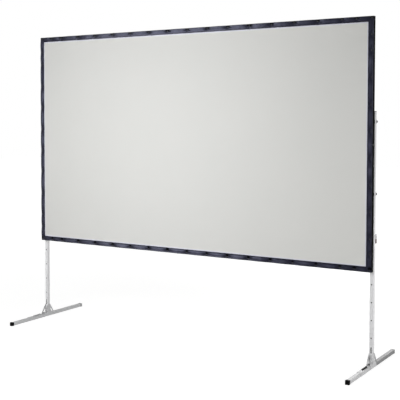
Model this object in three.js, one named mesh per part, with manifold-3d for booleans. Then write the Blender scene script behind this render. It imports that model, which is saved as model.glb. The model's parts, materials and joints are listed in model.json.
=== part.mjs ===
// A folding rear projection screen on two T-legs, in millimetres, with +Z up.
// X runs along the screen's width, and Y from the viewer to the back of the screen.
// The origin lies on the floor, halfway between the legs and halfway along the feet.
//
// A flat cloth with a black border is snapped to the front of a black square tube frame.
// The frame is a closed loop of hinged rails. Its top and bottom rails each have four equal
// lengths. Their hinge pivots lie a little outside the tubes, in turn at the inner and the
// outer edge, so the lengths fold flat against each other and both sides stay upright.

import * as THREE from "three";
import { mergeVertices } from "three/addons/utils/BufferGeometryUtils.js";
import Module from "manifold-3d";

// The screen

const screenWidth = 3657.6;
const screenHeight = 2133.6;
const screenBottom = 823;
const borderWidth = 48;
const sheetThickness = 0.6;
const borderThickness = 1;
const sheetInset = 3; // the sheet's edge lies this far inside the border's edge

// Square tube, the same for the frame, the legs and the feet

const tubeSize = 31.75;
const tubeWall = 1.6;

// Snaps that hold the cloth: one in each corner, two short bays from it, then even bays

const snapFirstBay = 134;
const snapSecondBay = 131;
const evenSnapsAlongWidth = 15;
const evenSnapsAlongHeight = 8;
const snapCapRadius = 7;
const snapCapHeight = 1.8;
const snapRimHeight = 0.8;
const snapCrownRadius = 4.5;
const snapSeat = 0.5; // how deep a cap is pressed into the border
const studRadius = 4;
const studHeight = 1.2;
const studClearance = 0.3; // from a stud's top to the cloth

// Frame hinges: two leaves on the rails' back faces, in two layers, with a headed pin

const foldClearance = 1.5; // from a pivot to the tube's edge and to the tube's end
const lengthsPerRail = 4;
const leafThickness = 2.4;
const leafGap = 0.4;
const leafLength = 62;
const leafMargin = 2;
const leafTail = 24; // how far a corner leaf runs past its pivot along the side rail
const eyeRadius = 6;
const eyeClearance = 1.5; // from an eye to the other leaf's packing plate
const hingePinRadius = 2.5;
const hingePinClearance = 0.3;
const hingePinHeadRadius = 4.8;
const hingePinHeadHeight = 1.4;

// Legs

const legGap = 18.9; // from the frame's back to the leg's front
const legTop = 2167;
const legFoldHeight = 1130;
const legEndGap = 0.5; // from each leg tube's end to the fold
const legHoleRadius = 5.6;
const legHolePitch = 152.4;
const lowestLegHole = 255;
const legHoleCount = 13;
const legHoleMargin = 20;
const slotWidth = 8;
const slotBottom = 127;
const slotTop = 179;
const plugHeadHeight = 4;
const plugDepth = 16;
const plugGap = 0.3;
const boltHoles = [8, 12]; // which of the leg's holes, counted from 0, hold the frame's bolts
const boltHeights = boltHoles.map((hole) => lowestLegHole + legHolePitch * hole);

// Stand-off blocks on the side rails, and the hand knobs with their bolts

const blockWidth = 24;
const blockHeight = 30;
const seatGap = 0.3;
const boltRadius = 4;
const boltBoreRadius = 4.4; // in the side rails' blocks; the legs' own holes are wider
const boltReach = 8; // past the side rail's back face
const knobHubRadius = 8;
const knobHubLength = 9;
const knobRadius = 19;
const knobLobeDepth = 3.5;
const knobLobes = 5;
const knobThickness = 14;
const stepsPerLobe = 6;

// The legs' fold hinge and its clamping lever

const legLeafThickness = 2.5;
const legLeafHalfWidth = 14;
const legLeafLength = 56;
const legLeafStart = 5; // from the fold to the leaf's near edge
const knuckleRadius = 5;
const knuckleClearance = 0.5;
const middleKnuckleHalf = 5;
const knuckleGap = 0.4;
const legPinRadius = 2.5;
const legPinClearance = 0.3;
const leverHubRadius = 9;
const leverHubLength = 6;
const leverArmWidth = 9;
const leverArmThickness = 4;
const leverLength = 70;
const gripLength = 36;
const gripWidth = 12;
const gripThickness = 7;
const gripWall = 1.2;

// The T-foot: an A-shaped bracket, two foot halves that fold up, and their caps

const capSize = 34.5;
const capLength = 25;
const capEnd = 3;
const capGap = 0.3;
const footReach = 549; // from the leg's centre to a cap's outer face
const bracketThickness = 3;
const bracketGap = 0.4;
const bracketTop = 128;
const bracketShoulder = 17;
const bracketReach = 75;
const bracketKnee = 38;
const bracketBottom = 4;
const bracketBand = 44; // height of the bracket's solid lower band
const strutWidth = 14;
const windowStart = 24;
const webHalfLength = 40;
const webThickness = 3;
const footPivotReach = 60;
const footStub = 10; // from the pivot to the foot tube's inner end
const footChamfer = 8;
const footPinRadius = 3.5;
const footPinClearance = 0.35;
const pinHeadRadius = 6;
const pinHeadHeight = 2;
const legBoltHeights = [58, 104];

// The channel and the latch lever on each front foot half

const channelStart = 165;
const channelEnd = 295;
const channelThickness = 2.4;
const channelBottom = 2;
const latchPivotReach = 120;
const latchPivotRise = 6.5; // above the foot tube's top face
const latchLength = 96;
const latchTail = 9;
const latchHalfWidth = 7;
const latchThickness = 6.5;
const latchEarThickness = 2;
const latchEarHalfLength = 7;
const latchEarRise = 5;
const latchGap = 0.4;
const latchPinRadius = 2;
const latchPinClearance = 0.3;

// How finely round things are drawn, and how far cutting shapes run past what they cut

const roundSides = 16;
const smallSides = 8;
const overrun = 5;

// Places worked out from the sizes above

const half = tubeSize / 2;
const legX = screenWidth / 2 - half;
const frameBack = -half - legGap;
const frameFront = frameBack - tubeSize;
const sheetBack = frameFront - studHeight - studClearance;
const sheetFront = sheetBack - sheetThickness;
const borderFront = sheetFront - borderThickness;
const screenTop = screenBottom + screenHeight;
const sideMiddle = (screenBottom + screenTop) / 2;
const pivotOffset = half + foldClearance;
const footCentre = capSize / 2;
const footTop = footCentre + half;
const bracketInner = half + bracketGap;
const bracketOuter = bracketInner + bracketThickness;
const webTop = bracketBottom + webThickness;
const legBottom = webTop + seatGap;
const knuckleY = half + knuckleRadius + knuckleClearance;

// Solids

const wasm = await Module();
wasm.setup();

function toSolid(geometry) {
  const bare = geometry.clone();
  bare.deleteAttribute("normal");
  bare.deleteAttribute("uv");
  const merged = mergeVertices(bare);
  const vertProperties = Float32Array.from(merged.attributes.position.array);
  const triVerts = Uint32Array.from(merged.index.array);
  return new wasm.Manifold(new wasm.Mesh({ numProp: 3, vertProperties, triVerts }));
}

function toGeometry(solid) {
  const { vertProperties, triVerts } = solid.getMesh();
  const shared = new THREE.BufferGeometry();
  shared.setAttribute("position", new THREE.BufferAttribute(vertProperties, 3));
  shared.setIndex(new THREE.BufferAttribute(triVerts, 1));
  const geometry = shared.toNonIndexed();
  geometry.computeVertexNormals();
  return geometry;
}

function join(solids) {
  return solids.reduce((whole, piece) => whole.add(piece));
}

function cut(solid, tools) {
  return tools.reduce((rest, tool) => rest.subtract(tool), solid);
}

function block([x0, x1], [y0, y1], [z0, z1]) {
  const geometry = new THREE.BoxGeometry(x1 - x0, y1 - y0, z1 - z0);
  geometry.translate((x0 + x1) / 2, (y0 + y1) / 2, (z0 + z1) / 2);
  return toSolid(geometry);
}

// A round bar along X, centred on a [y, z] place, or along Y, centred on an [x, z] place
function rod(axis, radius, [from, to], place, sides = roundSides) {
  const geometry = new THREE.CylinderGeometry(radius, radius, to - from, sides);
  const middle = (from + to) / 2;
  if (axis === "x") {
    geometry.rotateZ(-Math.PI / 2);
    geometry.translate(middle, place[0], place[1]);
  } else {
    geometry.translate(place[0], middle, place[1]);
  }
  return toSolid(geometry);
}

function extruded(points, depth) {
  const vectors = points.map(([a, b]) => new THREE.Vector2(a, b));
  if (THREE.ShapeUtils.isClockWise(vectors)) vectors.reverse();
  return new THREE.ExtrudeGeometry(new THREE.Shape(vectors), { depth, bevelEnabled: false });
}

// Points along an arc round [0, 0]
function arcPoints(radius, from, turn) {
  return Array.from({ length: roundSides + 1 }, (_, i) => {
    const angle = from + (turn * i) / roundSides;
    return [radius * Math.cos(angle), radius * Math.sin(angle)];
  });
}

// A plate whose outline lies in the X-Z plane, between two Y values
function plateFacingY(points, [y0, y1]) {
  const geometry = extruded(points, y1 - y0);
  geometry.rotateX(Math.PI / 2);
  geometry.translate(0, y1, 0);
  return toSolid(geometry);
}

// A plate whose outline lies in the Y-Z plane, between two X values
function plateFacingX(points, [x0, x1]) {
  const geometry = extruded(points, x1 - x0);
  geometry.rotateZ(Math.PI / 2);
  geometry.rotateY(Math.PI / 2);
  geometry.translate(x0, 0, 0);
  return toSolid(geometry);
}

// A square tube along one axis, open at both ends
function squareTube(axis, [from, to], [first, second]) {
  const across = (centre, wall) => [centre - half + wall, centre + half - wall];
  const shell = (wall, ends) => {
    const spans = {
      x: [ends, across(first, wall), across(second, wall)],
      y: [across(first, wall), ends, across(second, wall)],
      z: [across(first, wall), across(second, wall), ends],
    };
    return block(...spans[axis]);
  };
  return shell(0, [from, to]).subtract(shell(tubeWall, [from - overrun, to + overrun]));
}

// Materials

const finish = (color, roughness, metalness) =>
  new THREE.MeshStandardMaterial({ color, roughness, metalness });
const blackFrame = () => finish(0x141414, 0.5, 0.3);
const aluminium = () => finish(0xd4d5d8, 0.4, 0.8);
const dullAluminium = () => finish(0x9a9b9e, 0.5, 0.7);
const steel = () => finish(0x8d8f92, 0.4, 0.9);
const blackPlastic = () => finish(0x111112, 0.5, 0);
const greyPlastic = () => finish(0x77797c, 0.6, 0);
const redPlastic = () => finish(0x8e1616, 0.5, 0);
const blackVinyl = () => finish(0x1f2028, 0.6, 0);
const screenVinyl = () => finish(0xdcdcd8, 0.8, 0);

function piece(name, solid, material) {
  const mesh = new THREE.Mesh(toGeometry(solid), material);
  mesh.name = name;
  return mesh;
}

const screen = new THREE.Group();

// Snap places along the middle of the frame's tubes, from one corner to the other

function spread(count, from, to) {
  return Array.from({ length: count }, (_, i) => from + ((to - from) * i) / (count - 1));
}

function snapPlaces(evenCount, from, to) {
  const shortBays = snapFirstBay + snapSecondBay;
  const even = spread(evenCount, from + shortBays, to - shortBays);
  return [from, from + snapFirstBay, ...even, to - snapFirstBay, to];
}

const railZs = { top: screenTop - half, bottom: screenBottom + half };
const snapXs = snapPlaces(evenSnapsAlongWidth, -legX, legX);
const snapZs = snapPlaces(evenSnapsAlongHeight, railZs.bottom, railZs.top);

const studSpan = [frameFront - studHeight, frameFront + tubeWall / 2];
const stud = (place) => rod("y", studRadius, studSpan, place, smallSides);

// The cloth: one sheet, and four border strips sewn over its edges, with the snaps' caps

const sheetX = screenWidth / 2 - sheetInset;
screen.add(
  piece(
    "screen_sheet",
    block([-sheetX, sheetX], [sheetFront, sheetBack], [screenBottom + sheetInset, screenTop - sheetInset]),
    screenVinyl(),
  ),
);

// A snap's cap is a low dome turned round its own axis, which points at the viewer
function snapCap([x, z]) {
  const profile = [
    [0, 0],
    [snapCapRadius, 0],
    [snapCapRadius, snapSeat + snapRimHeight],
    [snapCrownRadius, snapSeat + snapCapHeight],
    [0, snapSeat + snapCapHeight],
  ].map(([radius, height]) => new THREE.Vector2(radius, height));
  const geometry = new THREE.LatheGeometry(profile, smallSides);
  geometry.rotateX(Math.PI);
  geometry.translate(x, borderFront + snapSeat, z);
  return toSolid(geometry);
}

const borderLayer = [borderFront, sheetFront];
const edge = screenWidth / 2;
const inner = edge - borderWidth;
const between = [screenBottom + borderWidth, screenTop - borderWidth];
const borderStrips = {
  border_top: [[-edge, edge], borderLayer, [between[1], screenTop]],
  border_bottom: [[-edge, edge], borderLayer, [screenBottom, between[0]]],
  border_left: [[-edge, -inner], borderLayer, between],
  border_right: [[inner, edge], borderLayer, between],
};
const betweenCorners = snapZs.slice(1, -1);
const snapRows = {
  border_top: snapXs.map((x) => [x, railZs.top]),
  border_bottom: snapXs.map((x) => [x, railZs.bottom]),
  border_left: betweenCorners.map((z) => [-legX, z]),
  border_right: betweenCorners.map((z) => [legX, z]),
};
for (const [name, spans] of Object.entries(borderStrips)) {
  const caps = snapRows[name].map(snapCap);
  screen.add(piece(name, join([block(...spans), ...caps]), blackVinyl()));
}

// One hinge leaf. The pivot is a point in the X-Z plane. "along" points from the pivot into
// the rail's length and "across" from the pivot towards the rail's middle line, both as unit
// vectors. The leaf is welded to the rail's back, in the inner layer (0) or the outer one (1).
function hingeLeaf({ pivot, along, across, layer, tail = 0 }) {
  const place = ([a, b]) => [
    pivot[0] + a * along[0] + b * across[0],
    pivot[1] + a * along[1] + b * across[1],
  ];
  const near = foldClearance + leafMargin;
  const far = foldClearance + tubeSize - leafMargin;
  const eye = arcPoints(eyeRadius, Math.PI * 0.55, Math.PI * 1.28);
  const shoulder = near + eyeRadius;
  const corner = tail > 0 ? [[-tail, far], [-tail, shoulder]] : [[near, far]];
  const outline = [...eye, [leafLength, near], [leafLength, far], ...corner].map(place);
  const layerStart = frameBack + leafGap + layer * (leafThickness + leafGap);
  const layerEnd = layerStart + leafThickness;
  const packStart = tail > 0 ? -tail : eyeRadius + eyeClearance;
  const packing = [[packStart, shoulder], [leafLength, shoulder], [leafLength, far], [packStart, far]];
  const packed = plateFacingY(packing.map(place), [frameBack - tubeWall / 2, layerEnd]);
  const plate = plateFacingY(outline, [layerStart, layerEnd]);
  const hole = hingePinRadius + hingePinClearance;
  return join([plate, packed]).subtract(
    rod("y", hole, [layerStart - leafGap / 2, layerEnd + overrun], pivot, smallSides),
  );
}

// The pin runs from the inner leaf's front face through both leaves to its head at the back
function hingePin(pivot) {
  const start = frameBack + leafGap;
  const headStart = start + leafThickness * 2 + leafGap + hingePinClearance;
  const headEnd = headStart + hingePinHeadHeight;
  const shank = rod("y", hingePinRadius, [start, headEnd], pivot, smallSides);
  return shank.add(rod("y", hingePinHeadRadius, [headStart, headEnd], pivot, smallSides));
}

const east = [1, 0];
const west = [-1, 0];
const up = [0, 1];
const down = [0, -1];

// A top or bottom rail: equal lengths with pivots in turn at the inner and the outer edge
function addRail(rail) {
  const z = railZs[rail];
  const inward = rail === "top" ? down : up;
  const outward = rail === "top" ? up : down;
  const firstPivotX = -screenWidth / 2 + tubeSize + foldClearance;
  const lastPivotX = -firstPivotX;
  const pitch = (lastPivotX - firstPivotX) / lengthsPerRail;
  const pivots = Array.from({ length: lengthsPerRail + 1 }, (_, i) => {
    const toEdge = i % 2 === 0 ? inward : outward;
    const across = i % 2 === 0 ? outward : inward;
    return { pivot: [firstPivotX + pitch * i, z + toEdge[1] * pivotOffset], across };
  });
  for (let i = 0; i < lengthsPerRail; i += 1) {
    const left = pivots[i];
    const right = pivots[i + 1];
    const ends = [left.pivot[0] + foldClearance, right.pivot[0] - foldClearance];
    const clear = studRadius + leafMargin;
    const held = snapXs.filter((x) => x > ends[0] + clear && x < ends[1] - clear);
    const tube = squareTube("x", ends, [frameBack - half, z]);
    const studs = held.map((x) => stud([x, z]));
    const leaves = [
      hingeLeaf({ ...left, along: east, layer: 1 }),
      hingeLeaf({ ...right, along: west, layer: 0 }),
    ];
    screen.add(piece(`${rail}_rail_${i + 1}`, join([tube, ...studs, ...leaves]), blackFrame()));
  }
  pivots.forEach(({ pivot }, i) => {
    screen.add(piece(`${rail}_hinge_pin_${i}`, hingePin(pivot), steel()));
  });
}
addRail("top");
addRail("bottom");

// A side rail: two lengths joined by a hinge at the inner edge, which the bolted leg keeps
// straight, with stand-off blocks for the leg's bolts and a leaf for the corner hinge
function addSide(name, side) {
  const x = side * legX;
  const towardScreen = side > 0 ? west : east;
  const awayFromScreen = side > 0 ? east : west;
  const spans = {
    lower: [screenBottom, sideMiddle - foldClearance],
    upper: [sideMiddle + foldClearance, screenTop],
  };
  const pivotX = x + towardScreen[0] * pivotOffset;
  const leaf = (z, along, options) =>
    hingeLeaf({ pivot: [pivotX, z], along, across: awayFromScreen, ...options });
  const corner = { layer: side > 0 ? 1 : 0, tail: leafTail };
  const leaves = {
    lower: [leaf(railZs.bottom + pivotOffset, up, corner), leaf(sideMiddle, down, { layer: 0 })],
    upper: [leaf(railZs.top - pivotOffset, down, corner), leaf(sideMiddle, up, { layer: 1 })],
  };
  for (const [part, [z0, z1]] of Object.entries(spans)) {
    const bolts = boltHeights.filter((z) => z > z0 && z < z1);
    const blocks = bolts.map((z) =>
      block(
        [x - blockWidth / 2, x + blockWidth / 2],
        [frameBack - tubeWall / 2, -half - seatGap],
        [z - blockHeight / 2, z + blockHeight / 2],
      ),
    );
    const bores = bolts.map((z) =>
      rod("y", boltBoreRadius, [frameBack - tubeWall - overrun, -half + overrun], [x, z], smallSides),
    );
    const studs = snapZs.filter((z) => z > z0 && z < z1).map((z) => stud([x, z]));
    const tube = squareTube("z", [z0, z1], [x, frameBack - half]);
    const rail = cut(join([tube, ...blocks, ...studs, ...leaves[part]]), bores);
    screen.add(piece(`side_rail_${part}_${name}`, rail, blackFrame()));
  }
  screen.add(piece(`side_hinge_pin_${name}`, hingePin([pivotX, sideMiddle]), steel()));
}
addSide("left", -1);
addSide("right", 1);

// A leg, built as the right one, with its outer side facing +X. The left one mirrors it.

function legTube([z0, z1]) {
  const heights = Array.from({ length: legHoleCount }, (_, i) => lowestLegHole + legHolePitch * i);
  const inside = heights.filter((z) => z > z0 + legHoleMargin && z < z1 - legHoleMargin);
  const through = [-half - overrun, half + overrun];
  const bores = inside.map((z) => rod("y", legHoleRadius, through, [0, z], smallSides));
  return cut(squareTube("z", [z0, z1], [0, 0]), bores);
}

function lowerLegTube() {
  const tube = legTube([legBottom, legFoldHeight - legEndGap]);
  const frontWall = [-half - overrun, -half + tubeWall * 2];
  const slot = block([-slotWidth / 2, slotWidth / 2], frontWall, [slotBottom, slotTop]);
  const through = [-half - overrun, half + overrun];
  const boltBore = footPinRadius + footPinClearance;
  const bolts = legBoltHeights.map((z) => rod("x", boltBore, through, [0, z], smallSides));
  return cut(tube, [slot, ...bolts]);
}

function topPlug() {
  const bore = half - tubeWall - plugGap;
  const head = block([-half, half], [-half, half], [legTop, legTop + plugHeadHeight]);
  const body = block([-bore, bore], [-bore, bore], [legTop - plugDepth, legTop + plugHeadHeight / 2]);
  return head.add(body);
}

// The fold hinge on the leg's back. The upper leaf holds the middle knuckle and the pin.
const foldAxis = [knuckleY, legFoldHeight];
const leverX = [half + bracketGap, half + bracketGap + leverHubLength];

function foldLeaf(isUpper) {
  const sign = isUpper ? 1 : -1;
  const heights = (a, b) => [a, b].map((v) => legFoldHeight + sign * v).sort((p, q) => p - q);
  const back = [half, half + legLeafThickness];
  const plate = block([-legLeafHalfWidth, legLeafHalfWidth], back, heights(legLeafStart, legLeafLength));
  const outerStart = middleKnuckleHalf + knuckleGap;
  const outerSpans = [
    [-legLeafHalfWidth, -outerStart],
    [outerStart, legLeafHalfWidth],
  ];
  const spans = isUpper ? [[-middleKnuckleHalf, middleKnuckleHalf]] : outerSpans;
  const knuckles = spans.flatMap((span) => [
    rod("x", knuckleRadius, span, foldAxis),
    block(span, [half, knuckleY], heights(legLeafStart, legLeafStart + knuckleRadius)),
    block(span, [knuckleY - knuckleRadius * 0.7, knuckleY], heights(0, legLeafStart + knuckleRadius)),
  ]);
  const leaf = join([plate, ...knuckles]);
  const pinSpan = [-legLeafHalfWidth - knuckleGap, leverX[1]];
  if (isUpper) return leaf.add(rod("x", legPinRadius, pinSpan, foldAxis, smallSides));
  const boreSpan = [-legLeafHalfWidth - overrun, legLeafHalfWidth + overrun];
  return leaf.subtract(rod("x", legPinRadius + legPinClearance, boreSpan, foldAxis, smallSides));
}

// The clamping lever on the hinge pin's outer end, with a grip over the end of its arm
const armX = [leverX[1] - leverArmThickness, leverX[1]];
const armHalf = leverArmWidth / 2;
const armEnd = legFoldHeight - leverLength;

function lockLever() {
  const hub = rod("x", leverHubRadius, leverX, foldAxis);
  const arm = block(armX, [knuckleY - armHalf, knuckleY + armHalf], [armEnd, legFoldHeight]);
  const boreSpan = [leverX[0] - overrun, leverX[1] + overrun];
  const bore = rod("x", legPinRadius + legPinClearance, boreSpan, foldAxis, smallSides);
  return hub.add(arm).subtract(bore);
}

function lockGrip() {
  const middleX = (armX[0] + armX[1]) / 2;
  const bottom = armEnd - gripWall;
  const sleeve = block(
    [middleX - gripThickness / 2, middleX + gripThickness / 2],
    [knuckleY - gripWidth / 2, knuckleY + gripWidth / 2],
    [bottom, bottom + gripLength],
  );
  const hollow = block(
    [armX[0] - seatGap, armX[1] + seatGap],
    [knuckleY - armHalf - seatGap, knuckleY + armHalf + seatGap],
    [armEnd - seatGap, bottom + gripLength + overrun],
  );
  return sleeve.subtract(hollow);
}

// A hand knob with lobes on its bolt, which runs through the leg into the side rail
function knobOutline(z) {
  const steps = knobLobes * stepsPerLobe;
  return Array.from({ length: steps }, (_, i) => {
    const angle = (Math.PI * 2 * i) / steps;
    const radius = knobRadius - (knobLobeDepth * (1 - Math.cos(angle * knobLobes))) / 2;
    return [radius * Math.cos(angle), z + radius * Math.sin(angle)];
  });
}

function handKnob(z) {
  const hubStart = half + seatGap;
  const headStart = hubStart + knobHubLength;
  const headEnd = headStart + knobThickness;
  const head = plateFacingY(knobOutline(z), [headStart, headEnd]);
  const hub = rod("y", knobHubRadius, [hubStart, headEnd - knobThickness / 2], [0, z]);
  const bolt = rod("y", boltRadius, [frameBack - boltReach, headStart], [0, z], smallSides);
  return join([head, hub, bolt]);
}

// The A-shaped bracket: two plates with windows, a web under the leg, and riveted pins
const footPivots = [-footPivotReach, footPivotReach].map((y) => [y, footCentre]);
const pinPlaces = [...footPivots, ...legBoltHeights.map((z) => [0, z])];

// Pins on the foot halves' pivots and through the leg, riveted into both plates
function bracketPins() {
  const end = bracketOuter + pinHeadHeight;
  return pinPlaces.flatMap((place) => [
    rod("x", footPinRadius, [-end, end], place, smallSides),
    rod("x", pinHeadRadius, [bracketOuter - bracketThickness / 2, end], place, smallSides),
    rod("x", pinHeadRadius, [-end, -bracketOuter + bracketThickness / 2], place, smallSides),
  ]);
}

function footBracket() {
  const mirrored = (points) => points.map(([y, z]) => [-y, z]).reverse();
  const backHalf = [
    [bracketReach, bracketBottom],
    [bracketReach, bracketKnee],
    [bracketShoulder, bracketTop],
  ];
  const outline = [...backHalf, ...mirrored(backHalf)];
  const slope = (bracketReach - bracketShoulder) / (bracketTop - bracketKnee);
  const strutSpan = strutWidth * Math.hypot(1, slope);
  const strutInner = (z) => bracketReach - (z - bracketKnee) * slope - strutSpan;
  const windowTop = bracketKnee + (bracketReach - strutSpan - windowStart) / slope;
  const window = [
    [windowStart, bracketBand],
    [strutInner(bracketBand), bracketBand],
    [windowStart, windowTop],
  ];
  const through = [-bracketOuter - overrun, bracketOuter + overrun];
  const windows = [window, mirrored(window)].map((points) => plateFacingX(points, through));
  const spans = [
    [bracketInner, bracketOuter],
    [-bracketOuter, -bracketInner],
  ];
  const plates = spans.map((span) => plateFacingX(outline, span));
  const webLength = [-webHalfLength, webHalfLength];
  const web = block([-bracketOuter, bracketOuter], webLength, [bracketBottom, webTop]);
  return join([...plates, web, ...bracketPins()].map((solid) => cut(solid, windows)));
}

const ordered = (a, b) => [Math.min(a, b), Math.max(a, b)];

// A foot half. "ahead" is -1 for the front half, which points at the viewer, and 1 for the back.
function footTube(ahead) {
  const start = footPivotReach - footStub;
  const end = footReach - capEnd - capGap;
  const tube = squareTube("y", ordered(start * ahead, end * ahead), [0, footCentre]);
  const through = [-half - overrun, half + overrun];
  const pivot = [footPivotReach * ahead, footCentre];
  const pinBore = rod("x", footPinRadius + footPinClearance, through, pivot, smallSides);
  const underside = footCentre - half;
  const chamferLegs = footChamfer + overrun * 2;
  const chamferCorner = [start - overrun, underside - overrun];
  const chamfer = plateFacingX(
    [
      [chamferCorner[0] * ahead, chamferCorner[1]],
      [(chamferCorner[0] + chamferLegs) * ahead, chamferCorner[1]],
      [chamferCorner[0] * ahead, chamferCorner[1] + chamferLegs],
    ],
    through,
  );
  const bare = cut(tube, [pinBore, chamfer]);
  return ahead < 0 ? join([bare, stiffeningChannel(), ...latchEars()]) : bare;
}

// The channel runs over the front foot half's top and sides, and is open below
function stiffeningChannel() {
  const outer = half + channelThickness;
  const bore = half - tubeWall / 2;
  const body = block([-outer, outer], [-channelEnd, -channelStart], [channelBottom, footCentre + outer]);
  const hollow = block(
    [-bore, bore],
    [-channelEnd - overrun, -channelStart + overrun],
    [channelBottom - overrun, footCentre + bore],
  );
  return body.subtract(hollow);
}

const latchPivot = [-latchPivotReach, footTop + latchPivotRise];

function latchEars() {
  const start = latchHalfWidth + latchGap;
  const spans = [
    [start, start + latchEarThickness],
    [-start - latchEarThickness, -start],
  ];
  const ys = [latchPivot[0] - latchEarHalfLength, latchPivot[0] + latchEarHalfLength];
  const zs = [footTop - tubeWall / 2, latchPivot[1] + latchEarRise];
  const bore = rod("x", latchPinRadius + latchPinClearance, [-half, half], latchPivot, smallSides);
  return spans.map((span) => block(span, ys, zs).subtract(bore));
}

function latchLever() {
  const body = block(
    [-latchHalfWidth, latchHalfWidth],
    [latchPivot[0] - latchLength, latchPivot[0] + latchTail],
    [latchPivot[1] - latchThickness / 2, latchPivot[1] + latchThickness / 2],
  );
  const pinEnd = latchHalfWidth + latchGap + latchEarThickness;
  return body.add(rod("x", latchPinRadius, [-pinEnd, pinEnd], latchPivot, smallSides));
}

function footCap(ahead) {
  const outer = capSize / 2;
  const bore = half + capGap;
  const mouth = footReach - capLength;
  const body = block([-outer, outer], ordered(mouth * ahead, footReach * ahead), [0, capSize]);
  const room = ordered((mouth - overrun) * ahead, (footReach - capEnd) * ahead);
  return body.subtract(block([-bore, bore], room, [footCentre - bore, footCentre + bore]));
}

function addLeg(name, side) {
  const leg = new THREE.Group();
  leg.position.x = side * legX;
  leg.scale.x = side;
  leg.add(
    piece(`leg_upper_${name}`, legTube([legFoldHeight + legEndGap, legTop]), aluminium()),
    piece(`leg_lower_${name}`, lowerLegTube(), aluminium()),
    piece(`leg_plug_${name}`, topPlug(), blackPlastic()),
    piece(`fold_hinge_upper_${name}`, foldLeaf(true), steel()),
    piece(`fold_hinge_lower_${name}`, foldLeaf(false), steel()),
    piece(`lock_lever_${name}`, lockLever(), blackPlastic()),
    piece(`lock_grip_${name}`, lockGrip(), redPlastic()),
    piece(`knob_low_${name}`, handKnob(boltHeights[0]), blackPlastic()),
    piece(`knob_high_${name}`, handKnob(boltHeights[1]), blackPlastic()),
    piece(`foot_bracket_${name}`, footBracket(), dullAluminium()),
    piece(`foot_front_${name}`, footTube(-1), dullAluminium()),
    piece(`foot_back_${name}`, footTube(1), dullAluminium()),
    piece(`cap_front_${name}`, footCap(-1), blackPlastic()),
    piece(`cap_back_${name}`, footCap(1), greyPlastic()),
    piece(`latch_lever_${name}`, latchLever(), blackPlastic()),
  );
  screen.add(leg);
}
addLeg("left", -1);
addLeg("right", 1);

export default screen;
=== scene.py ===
"""Looks for the folding rear projection screen, in metres, in the CAD model's frame."""

import json
import math
from collections import namedtuple

import bpy
import numpy as np
from mathutils import Matrix, Vector


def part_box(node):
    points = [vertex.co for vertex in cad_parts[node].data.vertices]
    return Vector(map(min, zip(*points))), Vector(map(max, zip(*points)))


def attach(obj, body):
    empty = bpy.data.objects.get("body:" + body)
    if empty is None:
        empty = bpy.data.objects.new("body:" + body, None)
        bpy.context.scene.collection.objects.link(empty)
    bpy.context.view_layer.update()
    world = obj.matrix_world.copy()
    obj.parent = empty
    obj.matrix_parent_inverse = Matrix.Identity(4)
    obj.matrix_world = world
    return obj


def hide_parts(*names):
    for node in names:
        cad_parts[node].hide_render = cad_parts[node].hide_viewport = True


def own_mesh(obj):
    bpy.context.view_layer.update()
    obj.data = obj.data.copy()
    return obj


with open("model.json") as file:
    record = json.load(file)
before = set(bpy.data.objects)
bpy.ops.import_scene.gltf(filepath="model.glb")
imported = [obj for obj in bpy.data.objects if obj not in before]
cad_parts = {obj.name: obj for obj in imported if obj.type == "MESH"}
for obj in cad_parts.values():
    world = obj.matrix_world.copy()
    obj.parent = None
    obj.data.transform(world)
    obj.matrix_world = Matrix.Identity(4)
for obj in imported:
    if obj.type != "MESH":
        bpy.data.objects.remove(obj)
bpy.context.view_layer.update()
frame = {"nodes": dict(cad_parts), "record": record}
nodes = frame["nodes"]

# Each leg's side, and which way is outward there
LEG_SIDES = (("left", -1), ("right", 1))

# Lengths and counts that the CAD model has too
TUBE = 0.03175
STUD_HEIGHT = 0.0012
INNER_LEAF_FACE, OUTER_LEAF_FACE = 0.0028, 0.0056
BORDER_THICKNESS = 0.001
SNAP_INSET = TUBE / 2
SNAP_FIRST_BAY, SNAP_SECOND_BAY = 0.134, 0.131
EVEN_SNAPS_ACROSS, EVEN_SNAPS_UP = 15, 8

sheet_low, sheet_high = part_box("screen_sheet")
border_low, border_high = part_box("border_top")
border_width = border_high.z - border_low.z
half_width = border_high.x
screen_top = border_high.z
screen_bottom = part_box("border_bottom")[0].z
cloth_front = sheet_low.y
border_front = cloth_front - BORDER_THICKNESS
frame_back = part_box("side_rail_lower_right")[0].y + STUD_HEIGHT + TUBE

# The camera as fitted to the photo. Pixels are counted from the photo's top left corner.
PHOTO_SIZE = 400
FOCAL_PIXELS = 843.3
PRINCIPAL_POINT = (200.82, 156.73)
SENSOR_WIDTH = 36
CAMERA_PLACE = (4.28713, -6.770335, 2.0762)
CAMERA_YAW, CAMERA_PITCH, CAMERA_ROLL = (math.radians(a) for a in (31.67, -2.35, 0.13))


def make_camera():
    data = bpy.data.cameras.new("camera")
    data.sensor_width = SENSOR_WIDTH
    data.lens = FOCAL_PIXELS / PHOTO_SIZE * SENSOR_WIDTH
    data.shift_x = (PHOTO_SIZE / 2 - PRINCIPAL_POINT[0]) / PHOTO_SIZE
    data.shift_y = (PRINCIPAL_POINT[1] - PHOTO_SIZE / 2) / PHOTO_SIZE
    ahead = Vector((
        -math.sin(CAMERA_YAW) * math.cos(CAMERA_PITCH),
        math.cos(CAMERA_YAW) * math.cos(CAMERA_PITCH),
        math.sin(CAMERA_PITCH),
    ))
    level = Vector((math.cos(CAMERA_YAW), math.sin(CAMERA_YAW), 0))
    above = level.cross(ahead)
    right = level * math.cos(CAMERA_ROLL) + above * math.sin(CAMERA_ROLL)
    up = above * math.cos(CAMERA_ROLL) - level * math.sin(CAMERA_ROLL)
    turn = Matrix((right, up, -ahead)).transposed().to_4x4()
    camera = bpy.data.objects.new("camera", data)
    camera.matrix_world = Matrix.Translation(CAMERA_PLACE) @ turn
    bpy.context.collection.objects.link(camera)
    bpy.context.scene.camera = camera


make_camera()


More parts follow.
